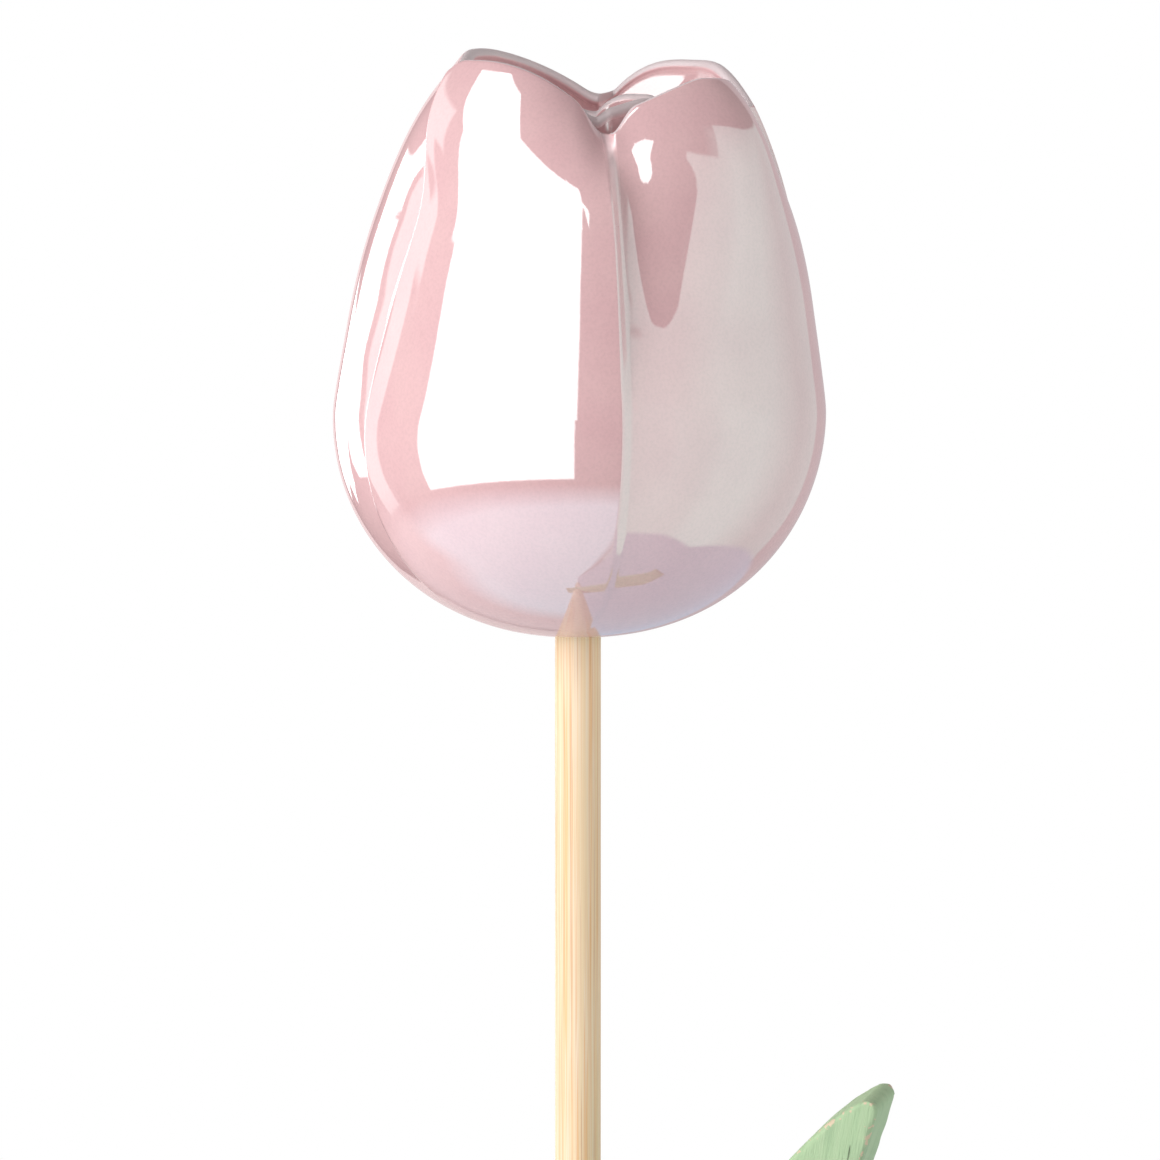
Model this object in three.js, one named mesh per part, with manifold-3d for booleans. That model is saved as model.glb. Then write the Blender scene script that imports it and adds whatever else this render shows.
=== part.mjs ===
// A glazed ceramic tulip head on a round bamboo stick, with one painted wooden leaf.
// Millimetres, +Z up the stick, origin at the middle of the stick's lower end.
// The viewer stands on the -Y side, and azimuths run from there toward +X.

import * as THREE from 'three';
import { mergeVertices } from 'three/addons/utils/BufferGeometryUtils.js';
import Module from 'manifold-3d';

// Gap kept between pieces that touch or fit into each other
const FIT_GAP = 0.25;

// How far a drill or a saw runs on past the faces that it cuts
const CUT_OVERRUN = 1;

// Bamboo stick
const STICK_DIAMETER = 6;
const STICK_LENGTH = 350;
const STICK_CHAMFER = 0.5;
const STICK_SIDES = 32;

// Tulip head: heights are above its foot
const HEAD_HEIGHT = 77;
const HEAD_WIDEST_RADIUS = 32.5;
const HEAD_WIDEST_HEIGHT = 29;
const HEAD_WALL = 3.5;
const HEAD_LEAN = 1.2;
const FOOT_RIM = 1.0;
const BELLY_POWER = 2;
const BELLY_ROOT = 0.4545;
const SHOULDER_TAPER = 7.4;
const SHOULDER_SOFTNESS = 0.05;
const SHOULDER_ROUNDING = 9;

// Grooves between the petals
const GROOVE_START_HEIGHT = 22;
const GROOVE_FULL_HEIGHT = 67;
const GROOVE_SHARE_LOW = 0.018;
const GROOVE_SHARE_RISE = 0.225;
const GROOVE_POWER = 1.8;
const GROOVE_ROUNDING = 0.1;
const GROOVE_HALF_WIDTH = 0.6;
const GROOVE_BASE_TWIST = 7;
const GROOVE_BASE_TWIST_HEIGHT = 4;
const GROOVE_TOP_TWIST = 2;

// Petal edges that stand proud of the petal next to them
const OVERLAP_STEP = 0.75;
const OVERLAP_SPREAD = 7;
const OVERLAP_FADE_HEIGHT = 9;

// Petals in order round the head. Azimuths in degrees; tip and notch are drops below HEAD_HEIGHT.
// The left and right sides give the groove's depth, the notch's drop, the fall of the rim toward
// it, and how much of the overlap step the petal sinks there.
const PETALS = [
  {
    from: -60, to: 11, tipAzimuth: -43, tipDrop: 1.1, fullness: 0,
    left: { depth: 0.75, notchDrop: 4, fall: 2, sunk: 0 },
    right: { depth: 1, notchDrop: 11.4, fall: 1.9, sunk: 0 },
  },
  {
    from: 11, to: 104, tipAzimuth: 58, tipDrop: 3.8, fullness: 0.028,
    left: { depth: 1, notchDrop: 11.4, fall: 1.7, sunk: 1 },
    right: { depth: 0.6, notchDrop: 7.5, fall: 2.6, sunk: 0.6 },
  },
  {
    from: 104, to: 175, tipAzimuth: 139, tipDrop: 2.3, fullness: 0.02,
    left: { depth: 0.6, notchDrop: 7.5, fall: 2.6, sunk: 0 },
    right: { depth: 1, notchDrop: 7.4, fall: 1.7, sunk: 0 },
  },
  {
    from: 175, to: 300, tipAzimuth: 225, tipDrop: 0.8, fullness: -0.045,
    left: { depth: 1, notchDrop: 7.4, fall: 1.45, sunk: 0.6 },
    right: { depth: 0.75, notchDrop: 4, fall: 2, sunk: 1 },
  },
];
const NOTCH_ROUNDING = 0.12;
const PETAL_LIP_RADIUS = 1.25;

// Cup inside the petals, and the ring of small inner petals that stands in it
const CUP_FLOOR_DROP = 19;
const CUP_SQUARENESS = 0.6;
const INNER_RING_RADIUS = 10.2;
const INNER_RING_DROP = 7;
const INNER_RING_NOTCH = 2.3;
const INNER_RING_PINCH = 0.1;
const INNER_RING_LIP_RADIUS = 0.9;
const INNER_RING_DEPTH = 10;

// Glue round the stick inside the head
const GLUE_RADIUS = 10;
const GLUE_HEIGHT = 9;

// Leaf: a board whose long axis spreads from the stick, turned and tipped a little to the viewer
const LEAF_DROP = 129;
const LEAF_REACH = 82.7;
const LEAF_SPREAD = 30.4;
const LEAF_YAW = 15;
const LEAF_TIP_FORWARD = 5;
const LEAF_CHEEK = 2.2;
const LEAF_ARRIS = 0.5;
const LEAF_HALF_WIDTH = 8.6;
const LEAF_TIP_RADIUS = 1.3;
const LEAF_TAIL = 14;

// Each long edge of the leaf swells from the heel and draws in to the tip.
// Every pair is a share of the leaf's reach and a share of its half width.
const LEAF_LOWER_EDGE = { heel: 0.6, swell: [0.2, 1.4], draw: [0.68, 0.8] };
const LEAF_UPPER_EDGE = { heel: 0.8, swell: [0.3, 1.1], draw: [0.82, 1.15] };

// Rubber ring under the leaf's heel
const RING_SECTION_WIDTH = 2.2;
const RING_SECTION_HEIGHT = 2.5;
const RING_ROUNDING = 0.8;

// Sizes that follow from the ones above
const stickRadius = STICK_DIAMETER / 2;
const boreRadius = stickRadius + FIT_GAP;
const footRadius = boreRadius + FOOT_RIM;
const cupFloor = HEAD_HEIGHT - CUP_FLOOR_DROP;
const pitFloor = HEAD_HEIGHT - INNER_RING_DROP - INNER_RING_DEPTH;
const cavityTop = cupFloor - HEAD_WALL;
const headBase = STICK_LENGTH - (cavityTop - FIT_GAP);
const leafHeel = headBase - LEAF_DROP;
const leafThickness = 2 * (boreRadius + LEAF_CHEEK);

const radians = THREE.MathUtils.degToRad;
const clamp = THREE.MathUtils.clamp;
const lerp = THREE.MathUtils.lerp;

const wasm = await Module();
wasm.setup();

// A closed geometry as a solid that can be cut and joined
function solidOf(geometry) {
  const bare = geometry.clone();
  bare.deleteAttribute('normal');
  bare.deleteAttribute('uv');
  const merged = mergeVertices(bare, 1e-5);
  return new wasm.Manifold(new wasm.Mesh({
    numProp: 3,
    vertProperties: new Float32Array(merged.attributes.position.array),
    triVerts: new Uint32Array(merged.index.array),
  }));
}

function geometryOf(solid) {
  const { vertProperties, triVerts } = solid.getMesh();
  const geometry = new THREE.BufferGeometry();
  geometry.setAttribute('position', new THREE.BufferAttribute(new Float32Array(vertProperties), 3));
  geometry.setIndex(new THREE.BufferAttribute(new Uint32Array(triVerts), 1));
  geometry.computeVertexNormals();
  return geometry;
}

// A profile of [radius, height] points turned about the Z axis
function turned(profile, sides) {
  const points = profile.map(([radius, height]) => new THREE.Vector2(radius, height));
  return new THREE.LatheGeometry(points, sides).rotateX(Math.PI / 2);
}

function rod(radius, bottom, top, sides) {
  return turned([[0, bottom], [radius, bottom], [radius, top], [0, top]], sides);
}

// Tulip head: the crest radius of the petals at a height above the foot
function crestRadius(z) {
  if (z < HEAD_WIDEST_HEIGHT) {
    const footShare = 1 - (1 - (footRadius / HEAD_WIDEST_RADIUS) ** (1 / BELLY_ROOT)) ** (1 / BELLY_POWER);
    const below = (1 - footShare) * (1 - z / HEAD_WIDEST_HEIGHT);
    return HEAD_WIDEST_RADIUS * (1 - below ** BELLY_POWER) ** BELLY_ROOT;
  }
  const rise = (z - HEAD_WIDEST_HEIGHT) / (HEAD_HEIGHT - HEAD_WIDEST_HEIGHT);
  const taper = SHOULDER_TAPER * rise * rise / (rise + SHOULDER_SOFTNESS);
  return HEAD_WIDEST_RADIUS - taper - SHOULDER_ROUNDING * rise ** 4;
}

// The share of the crest radius that a groove takes away
function grooveShare(z) {
  const rise = clamp((z - GROOVE_START_HEIGHT) / (GROOVE_FULL_HEIGHT - GROOVE_START_HEIGHT), 0, 1.2);
  return GROOVE_SHARE_LOW + GROOVE_SHARE_RISE * rise ** GROOVE_POWER;
}

// Grooves swing round a little at the foot and at the top
function grooveTwist(z) {
  const atFoot = GROOVE_BASE_TWIST * Math.exp(-z / GROOVE_BASE_TWIST_HEIGHT);
  return -atFoot - GROOVE_TOP_TWIST * (z / GROOVE_FULL_HEIGHT) ** 4;
}

// A power curve from 0 to 1 whose end is rounded off
function roundedRise(share, power, rounding) {
  const past = Math.max(share - (1 - rounding), 0);
  const curve = share ** power - past * past * power / (2 * rounding);
  return curve / (1 - rounding * power / 2);
}

// Outer skin of a petal at an untwisted azimuth and a height
function skinRadius(petal, azimuth, z) {
  const across = (2 * azimuth - petal.from - petal.to) / (petal.to - petal.from);
  const side = across > 0 ? petal.right : petal.left;
  const rise = clamp((z - HEAD_WIDEST_HEIGHT) / (HEAD_HEIGHT - HEAD_WIDEST_HEIGHT), 0, 1);
  const full = 1 + petal.fullness * rise * (1 - across * across);
  const dip = grooveShare(z) * side.depth * roundedRise(Math.abs(across), 2, GROOVE_ROUNDING);
  const step = OVERLAP_STEP * (1 - Math.exp(-z / OVERLAP_FADE_HEIGHT));
  const sunkLeft = petal.left.sunk * Math.exp((petal.from - azimuth) / OVERLAP_SPREAD);
  const sunkRight = petal.right.sunk * Math.exp((azimuth - petal.to) / OVERLAP_SPREAD);
  return crestRadius(z) * full * (1 - dip) - step * (sunkLeft + sunkRight);
}

// How far along from its tip (0) to the notch beside it (1) a petal's rim has fallen
function rimFall(petal, azimuth) {
  const toLeft = azimuth < petal.tipAzimuth;
  const edge = toLeft ? petal.from : petal.to;
  const side = toLeft ? petal.left : petal.right;
  const share = clamp((azimuth - petal.tipAzimuth) / (edge - petal.tipAzimuth), 0, 1);
  return { side, fall: roundedRise(share, side.fall, NOTCH_ROUNDING) };
}

function rimHeight(petal, azimuth) {
  const { side, fall } = rimFall(petal, azimuth);
  return HEAD_HEIGHT - petal.tipDrop - (side.notchDrop - petal.tipDrop) * fall;
}

// One section of the head from the foot, over the petal's lip, down into the cup, over the
// inner ring's lip and down into the pit inside it, as [radius, height] points
function headSection(petal, azimuth) {
  const skinSteps = 22;
  const lipSteps = 3;
  const cupSteps = 6;
  const ringLipSteps = 2;
  const pitSteps = 3;
  const points = [];

  const lipBase = rimHeight(petal, azimuth) - PETAL_LIP_RADIUS;
  for (let k = 0; k <= skinSteps; k += 1) {
    const share = k / skinSteps;
    const z = lipBase * share * share * (3 - share) / 2;
    points.push([skinRadius(petal, azimuth, z), z]);
  }

  const lipCentre = skinRadius(petal, azimuth, lipBase) - PETAL_LIP_RADIUS;
  for (let k = 1; k <= lipSteps; k += 1) {
    const turn = Math.PI * k / lipSteps;
    const out = PETAL_LIP_RADIUS * Math.cos(turn);
    points.push([lipCentre + out, lipBase + PETAL_LIP_RADIUS * Math.sin(turn)]);
  }

  const { fall } = rimFall(petal, azimuth);
  const ringRadius = INNER_RING_RADIUS * (1 - INNER_RING_PINCH * fall);
  const ringTop = HEAD_HEIGHT - INNER_RING_DROP - INNER_RING_NOTCH * fall;
  const ringLipBase = ringTop - INNER_RING_LIP_RADIUS;
  const cupWall = lipCentre - PETAL_LIP_RADIUS;
  const ringOuter = ringRadius + INNER_RING_LIP_RADIUS;
  for (let k = 1; k < cupSteps; k += 1) {
    const share = k / cupSteps;
    const across = share - Math.sin(2 * Math.PI * share) / (2 * Math.PI);
    const sag = Math.sin(Math.PI * share) ** CUP_SQUARENESS;
    const z = lerp(lerp(lipBase, ringLipBase, share), cupFloor, sag);
    points.push([lerp(cupWall, ringOuter, across), z]);
  }

  for (let k = 0; k <= ringLipSteps; k += 1) {
    const turn = Math.PI * k / ringLipSteps;
    const out = INNER_RING_LIP_RADIUS * Math.cos(turn);
    points.push([ringRadius + out, ringLipBase + INNER_RING_LIP_RADIUS * Math.sin(turn)]);
  }

  const ringInner = ringRadius - INNER_RING_LIP_RADIUS;
  for (let k = 1; k <= pitSteps; k += 1) {
    const turn = Math.PI / 2 * k / (pitSteps + 1);
    const z = lerp(ringLipBase, pitFloor, Math.sin(turn));
    points.push([ringInner * Math.cos(turn) ** CUP_SQUARENESS, z]);
  }
  return points;
}

// Columns of the head's skin, close together beside the grooves
function headColumns() {
  const degreesEach = 6;
  const spareColumns = 4;
  const columns = [];
  for (const petal of PETALS) {
    const steps = Math.round((petal.to - petal.from) / degreesEach) + spareColumns;
    const start = petal.from + GROOVE_HALF_WIDTH;
    const end = petal.to - GROOVE_HALF_WIDTH;
    for (let k = 0; k <= steps; k += 1) {
      const azimuth = lerp(start, end, (1 - Math.cos(Math.PI * k / steps)) / 2);
      columns.push({ azimuth, section: headSection(petal, azimuth) });
    }
  }
  return columns;
}

// The head's whole outside as one closed skin
function headSkin() {
  const columns = headColumns();
  const rows = columns[0].section.length;
  const positions = [];
  for (const { azimuth, section } of columns) {
    for (const [radius, z] of section) {
      const turn = radians(azimuth + grooveTwist(z));
      const lean = HEAD_LEAN * (z / HEAD_HEIGHT) ** 2;
      positions.push(radius * Math.sin(turn) + lean, -radius * Math.cos(turn), z);
    }
  }
  const footPole = positions.length / 3;
  positions.push(0, 0, 0);
  const pitPole = footPole + 1;
  positions.push(HEAD_LEAN * (pitFloor / HEAD_HEIGHT) ** 2, 0, pitFloor);
  const index = [];
  for (let c = 0; c < columns.length; c += 1) {
    const here = c * rows;
    const next = ((c + 1) % columns.length) * rows;
    index.push(footPole, next, here);
    for (let k = 0; k < rows - 1; k += 1) {
      index.push(here + k, next + k, next + k + 1);
      index.push(here + k, next + k + 1, here + k + 1);
    }
    index.push(here + rows - 1, next + rows - 1, pitPole);
  }
  const geometry = new THREE.BufferGeometry();
  geometry.setAttribute('position', new THREE.Float32BufferAttribute(positions, 3));
  geometry.setIndex(index);
  return geometry;
}

// The hollow inside the head: its skin, taken at the grooves, set in by a wall
function headHollow(wall) {
  const steps = 14;
  const sides = 32;
  const probe = 0.01;
  const top = cavityTop - (wall - HEAD_WALL);
  const grooveRadius = (z) => crestRadius(z) * (1 - grooveShare(z)) - OVERLAP_STEP;
  const profile = [[0, wall]];
  for (let k = 1; k <= steps; k += 1) {
    const z = cavityTop * (k / steps) ** 2;
    const slope = (grooveRadius(z + probe) - grooveRadius(z)) / probe;
    const length = Math.hypot(1, slope);
    const radius = grooveRadius(z) - wall / length;
    const height = z + wall * slope / length;
    if (radius > boreRadius && height < top) profile.push([radius, height]);
  }
  const roofRadius = profile.at(-1)[0];
  profile.push([roofRadius, top], [0, top]);
  return turned(profile, sides);
}

function tulipHead() {
  const bore = solidOf(rod(boreRadius, -CUT_OVERRUN, cavityTop / 2, STICK_SIDES));
  return geometryOf(solidOf(headSkin()).subtract(solidOf(headHollow(HEAD_WALL))).subtract(bore));
}

// The glue fills the bottom of the hollow round the stick
function gluePlug() {
  const glueTop = HEAD_WALL + GLUE_HEIGHT;
  const hollow = solidOf(headHollow(HEAD_WALL + FIT_GAP));
  const pool = solidOf(rod(GLUE_RADIUS, 0, glueTop, STICK_SIDES));
  const bore = solidOf(rod(boreRadius, -CUT_OVERRUN, glueTop + CUT_OVERRUN, STICK_SIDES));
  return geometryOf(hollow.intersect(pool).subtract(bore));
}

function bambooStick() {
  const cut = stickRadius - STICK_CHAMFER;
  return turned([
    [0, 0],
    [cut, 0],
    [stickRadius, STICK_CHAMFER],
    [stickRadius, STICK_LENGTH - STICK_CHAMFER],
    [cut, STICK_LENGTH],
    [0, STICK_LENGTH],
  ], STICK_SIDES);
}

// The leaf's outline: x along the leaf from the stick to the tip, y across it
function leafOutline() {
  const at = (pair, side) => [pair[0] * LEAF_REACH, side * pair[1] * LEAF_HALF_WIDTH];
  const { heel, swell, draw } = LEAF_UPPER_EDGE;
  const tipStart = LEAF_REACH - LEAF_TIP_RADIUS;
  const shape = new THREE.Shape();
  shape.moveTo(-LEAF_TAIL, -LEAF_LOWER_EDGE.heel * LEAF_HALF_WIDTH);
  shape.bezierCurveTo(
    ...at(LEAF_LOWER_EDGE.swell, -1), ...at(LEAF_LOWER_EDGE.draw, -1), tipStart, -LEAF_TIP_RADIUS,
  );
  shape.absarc(tipStart, 0, LEAF_TIP_RADIUS, -Math.PI / 2, Math.PI / 2, false);
  shape.bezierCurveTo(...at(draw, 1), ...at(swell, 1), -LEAF_TAIL, heel * LEAF_HALF_WIDTH);
  shape.closePath();
  return shape;
}

// The board is extruded, swung to its place, drilled for the stick and cut square at the heel
function leaf() {
  const board = new THREE.ExtrudeGeometry(leafOutline(), {
    depth: leafThickness - 2 * LEAF_ARRIS,
    curveSegments: 14,
    bevelEnabled: true,
    bevelThickness: LEAF_ARRIS,
    bevelSize: LEAF_ARRIS,
    bevelOffset: -LEAF_ARRIS,
    bevelSegments: 1,
  });
  board.translate(0, 0, LEAF_ARRIS - leafThickness / 2);
  board.rotateZ(radians(90 - LEAF_SPREAD));
  board.rotateX(Math.PI / 2);
  const boreMiddle = LEAF_HALF_WIDTH / Math.sin(radians(LEAF_SPREAD)) / 2;
  board.translate(0, 0, -boreMiddle);
  board.rotateX(radians(LEAF_TIP_FORWARD));
  board.translate(0, 0, boreMiddle);
  board.rotateZ(-radians(LEAF_YAW));
  const span = 2 * (LEAF_REACH + LEAF_TAIL);
  const waste = new THREE.BoxGeometry(span, span, span).translate(0, 0, -span / 2);
  const bore = rod(boreRadius, -CUT_OVERRUN, LEAF_REACH, STICK_SIDES);
  return geometryOf(solidOf(board).subtract(solidOf(waste)).subtract(solidOf(bore)));
}

// The rubber ring, with rounded edges, hanging just under the heel
function gripRing() {
  const inner = boreRadius;
  const outer = inner + RING_SECTION_WIDTH;
  const h = RING_SECTION_HEIGHT;
  const c = RING_ROUNDING;
  return turned([
    [inner, c], [inner + c, 0], [outer - c, 0], [outer, c],
    [outer, h - c], [outer - c, h], [inner + c, h], [inner, h - c], [inner, c],
  ], STICK_SIDES);
}

function part(name, geometry, z, colour, roughness) {
  const material = new THREE.MeshStandardMaterial({ color: colour, roughness, metalness: 0 });
  const mesh = new THREE.Mesh(geometry, material);
  mesh.name = name;
  mesh.position.z = z;
  return mesh;
}

const tulip = new THREE.Group();
tulip.add(part('bamboo_stick', bambooStick(), 0, 0xeed9b0, 0.6));
tulip.add(part('tulip_head', tulipHead(), headBase, 0xdcb0b4, 0.08));
tulip.add(part('glue_plug', gluePlug(), headBase, 0xe8e2cf, 0.5));
tulip.add(part('leaf', leaf(), leafHeel, 0xa9c795, 0.7));
tulip.add(part('grip_ring', gripRing(), leafHeel - FIT_GAP - RING_SECTION_HEIGHT, 0xe6e8e4, 0.4));

export default tulip;
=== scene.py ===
import math

import bpy
import numpy as np
from mathutils import Matrix, Vector, noise


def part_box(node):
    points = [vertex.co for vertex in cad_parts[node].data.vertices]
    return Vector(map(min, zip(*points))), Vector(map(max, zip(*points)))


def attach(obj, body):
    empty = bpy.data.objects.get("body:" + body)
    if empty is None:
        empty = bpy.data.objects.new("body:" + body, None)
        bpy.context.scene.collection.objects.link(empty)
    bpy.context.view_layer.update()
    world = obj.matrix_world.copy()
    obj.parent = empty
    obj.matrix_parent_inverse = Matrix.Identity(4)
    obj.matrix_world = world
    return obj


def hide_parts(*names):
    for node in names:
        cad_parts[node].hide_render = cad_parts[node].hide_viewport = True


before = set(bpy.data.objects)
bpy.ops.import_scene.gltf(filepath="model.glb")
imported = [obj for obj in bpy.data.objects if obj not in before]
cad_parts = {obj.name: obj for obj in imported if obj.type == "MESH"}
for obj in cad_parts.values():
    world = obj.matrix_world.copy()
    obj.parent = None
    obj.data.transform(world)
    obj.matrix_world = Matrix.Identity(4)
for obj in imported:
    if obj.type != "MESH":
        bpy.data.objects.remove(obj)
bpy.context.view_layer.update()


# Bamboo stick
# A round stick of bamboo, drawn to a stock diameter, sanded, and cut square with broken edges.
# The fibres run its whole length, some darker than others. The head is glued on its upper end.

stick_low, stick_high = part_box("bamboo_stick")
STICK_RADIUS = (stick_high.x - stick_low.x) / 2
STICK_CHAMFER = 0.0005
STICK_SIDES = 96
STICK_RINGS = 180
STICK_FIBRE_WIDTH = 0.0006
STICK_FIBRE_RELIEF = 0.00002
STICK_WAVER_LENGTH = 0.03
STICK_WAVER = 0.00003


def closed_skin(name, grid, poles=None):
    """A closed mesh from columns of points set round an axis, capped at two poles or joined end to end."""
    columns, rows, _ = grid.shape
    here = np.arange(columns)[:, None] * rows
    beside = np.roll(here, -1, axis=0)
    row = np.arange(rows - 1 if poles else rows)[None, :]
    above = (row + 1) % rows
    quads = np.stack([here + row, beside + row, beside + above, here + above], axis=-1)
    points = grid.reshape(-1, 3)
    faces = quads.reshape(-1, 4).tolist()
    if poles:
        first = len(points)
        last = rows - 1
        points = np.vstack([points, poles])
        for low, low_beside in zip(here[:, 0].tolist(), beside[:, 0].tolist()):
            faces.append((first, low_beside, low))
            faces.append((low + last, low_beside + last, first + 1))
    mesh = bpy.data.meshes.new(name)
    mesh.from_pydata(points.tolist(), [], faces)
    mesh.shade_smooth()
    piece = bpy.data.objects.new(name, mesh)
    bpy.context.scene.collection.objects.link(piece)
    return piece


def waver(points, length, seed):
    """Smooth noise between -1 and 1 at each point, with bumps about as far apart as the length."""
    shift = Vector((seed, 2 * seed, 3 * seed))
    return np.array([noise.noise(Vector(p) / length + shift) for p in points.reshape(-1, 3)])


def stick_grid():
    """The stick's skin by columns and rows, with low fibres and a slight bow."""
    cut = STICK_RADIUS - STICK_CHAMFER
    top = stick_high.z
    shaft = np.linspace(STICK_CHAMFER, top - STICK_CHAMFER, STICK_RINGS)
    heights = np.concatenate([[0, 0, 0], shaft, [top, top, top]])
    radii = np.concatenate([[cut / 3, 2 * cut / 3, cut], np.full(STICK_RINGS, STICK_RADIUS),
                            [cut, 2 * cut / 3, cut / 3]])
    turn = np.linspace(0, 2 * math.pi, STICK_SIDES, endpoint=False)[:, None]
    rounds = np.stack([np.sin(turn), -np.cos(turn)], axis=-1)
    along = np.broadcast_to(heights[None, :, None], (STICK_SIDES, len(heights), 1))
    plain = np.concatenate([rounds * radii[None, :, None], along], axis=-1)
    fibre_points = plain / np.array([STICK_FIBRE_WIDTH, STICK_FIBRE_WIDTH, STICK_WAVER_LENGTH])
    fibre = waver(fibre_points, 1, 3).reshape(plain.shape[:2])
    bow = waver(plain, STICK_WAVER_LENGTH, 5).reshape(plain.shape[:2])
    relief = STICK_FIBRE_RELIEF * (fibre - 1) / 2 + STICK_WAVER * (bow - 1) / 2
    plain[..., :2] *= (1 + relief / STICK_RADIUS)[..., None]
    return plain


stick = closed_skin("bamboo_stick_turned", stick_grid(), [(0, 0, 0), (0, 0, stick_high.z)])
stick.data.set_sharp_from_angle(angle=math.radians(30))
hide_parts("bamboo_stick")
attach(stick, "stem")


def new_material(name):
    """A material's node tree and its shader."""
    material = bpy.data.materials.new(name)
    material.use_nodes = True
    tree = material.node_tree
    return material, tree, tree.nodes["Principled BSDF"]


def add(tree, kind, **settings):
    """A node with its properties set, and its input sockets by number or name given as values."""
    node = tree.nodes.new(kind)
    sockets = settings.pop("sockets", {})
    for key, value in settings.items():
        setattr(node, key, value)
    for key, value in sockets.items():
        if hasattr(value, "is_output"):
            tree.links.new(value, node.inputs[key])
        else:
            node.inputs[key].default_value = value
    return node


def ramp(tree, factor, stops):
    """A colour ramp over the factor, from pairs of place and colour."""
    node = add(tree, "ShaderNodeValToRGB", sockets={0: factor})
    elements = node.color_ramp.elements
    while len(elements) < len(stops):
        elements.new(0.5)
    for element, (place, colour) in zip(elements, stops):
        element.position = place
        element.color = (*colour, 1)
    return node.outputs["Color"]


def blend_colours(tree, factor, first, second, how="MIX"):
    """The second colour laid over the first by the factor."""
    node = add(tree, "ShaderNodeMix", data_type="RGBA", blend_type=how)
    inputs = node.inputs
    for socket, value in ((inputs["Factor"], factor), (inputs[6], first), (inputs[7], second)):
        if hasattr(value, "is_output"):
            tree.links.new(value, socket)
        elif socket.type == "RGBA":
            socket.default_value = (*value, 1)
        else:
            socket.default_value = value
    return node.outputs[2]


def grain_group():
    """Streaks of wood grain along one axis, as two masks: broad bands, and thin dark fibres."""
    group = bpy.data.node_groups.new("wood_grain", "ShaderNodeTree")
    group.interface.new_socket("Place", in_out="INPUT", socket_type="NodeSocketVector")
    group.interface.new_socket("Fineness", in_out="INPUT", socket_type="NodeSocketFloat")
    group.interface.new_socket("Bands", in_out="OUTPUT", socket_type="NodeSocketFloat")
    group.interface.new_socket("Fibres", in_out="OUTPUT", socket_type="NodeSocketFloat")
    ins = add(group, "NodeGroupInput").outputs
    outs = add(group, "NodeGroupOutput").inputs
    bands = add(group, "ShaderNodeTexNoise",
                sockets={"Vector": ins["Place"], "Scale": ins["Fineness"], "Detail": 3.0, "Roughness": 0.6})
    finer = add(group, "ShaderNodeMath", operation="MULTIPLY", sockets={0: ins["Fineness"], 1: 2.7})
    fibres = add(group, "ShaderNodeTexNoise",
                 sockets={"Vector": ins["Place"], "Scale": finer.outputs[0], "Detail": 2.0,
                          "Roughness": 0.7})
    group.links.new(bands.outputs["Fac"], outs["Bands"])
    group.links.new(fibres.outputs["Fac"], outs["Fibres"])
    return group


wood_grain = grain_group()


def bamboo_finish():
    cream = (0.91, 0.71, 0.46)
    straw = (0.90, 0.66, 0.41)
    honey = (0.87, 0.53, 0.26)
    milk = (0.92, 0.75, 0.57)
    dark_fibre = (0.72, 0.42, 0.24)
    material, tree, shader = new_material("sanded_bamboo")
    place = add(tree, "ShaderNodeTexCoord").outputs["Object"]
    drawn_out = add(tree, "ShaderNodeMapping", sockets={"Vector": place, "Scale": (1, 1, 0.006)})
    grain = add(tree, "ShaderNodeGroup", node_tree=wood_grain,
                sockets={"Place": drawn_out.outputs[0], "Fineness": 1500.0})
    bands = ramp(tree, grain.outputs["Bands"],
                 [(0.36, milk), (0.43, cream), (0.48, straw), (0.52, milk), (0.57, honey), (0.63, cream)])
    dark = ramp(tree, grain.outputs["Fibres"], [(0.55, (0, 0, 0)), (0.65, (0.75, 0.75, 0.75))])
    tree.links.new(blend_colours(tree, dark, bands, dark_fibre), shader.inputs["Base Color"])
    rough = add(tree, "ShaderNodeMapRange",
                sockets={"Value": grain.outputs["Fibres"], "To Min": 0.45, "To Max": 0.62})
    tree.links.new(rough.outputs[0], shader.inputs["Roughness"])
    bump = add(tree, "ShaderNodeBump",
               sockets={"Height": grain.outputs["Fibres"], "Strength": 0.3, "Distance": 0.00006})
    tree.links.new(bump.outputs[0], shader.inputs["Normal"])
    return material


stick.data.materials.append(bamboo_finish())


# Tulip head
# One hollow slip casting of white clay: four overlapping petals round a ring of small inner petals,
# with a pink glaze under a thin pearl lustre that mirrors what is round it. The glaze runs thin and
# pale over the lips and leaves the foot bare. The stick goes through the hole in the foot.

head_low, head_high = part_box("tulip_head")
FOOT_LEVEL = head_low.z
HEAD_HEIGHT = 0.077
HEAD_WIDEST_RADIUS = 0.0325
HEAD_WIDEST_HEIGHT = 0.029
HEAD_WALL = 0.0035
HEAD_LEAN = 0.0012
BORE_RADIUS = 0.00325
FOOT_RADIUS = 0.00425
BELLY_POWER = 2
BELLY_ROOT = 0.4545
SHOULDER_TAPER = 0.0074
SHOULDER_SOFTNESS = 0.05
SHOULDER_ROUNDING = 0.009
GROOVE_HALF_WIDTH = 0.6
GROOVE_BASE_TWIST = 7
GROOVE_BASE_TWIST_HEIGHT = 0.004
GROOVE_TOP_TWIST = 3
GROOVE_TOP_TWIST_HEIGHT = 0.067
LEFT_GROOVE_SWING = 8
LEFT_GROOVE_SWING_HEIGHT = 0.057
LEFT_GROOVE_SWING_SPAN = 0.013
LEFT_GROOVE_SWING_SPREAD = 20
DIP_TOP = 0.066
DIP_POWER = 1.25
DIP_SOFTNESS = 0.13
DIP_LEVEL = 0.75
DIP_OVERSHOOT = 1.3
RIGHT_DIP_OVERSHOOT = 1.05
BULGE_POWER = 1.6
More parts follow.
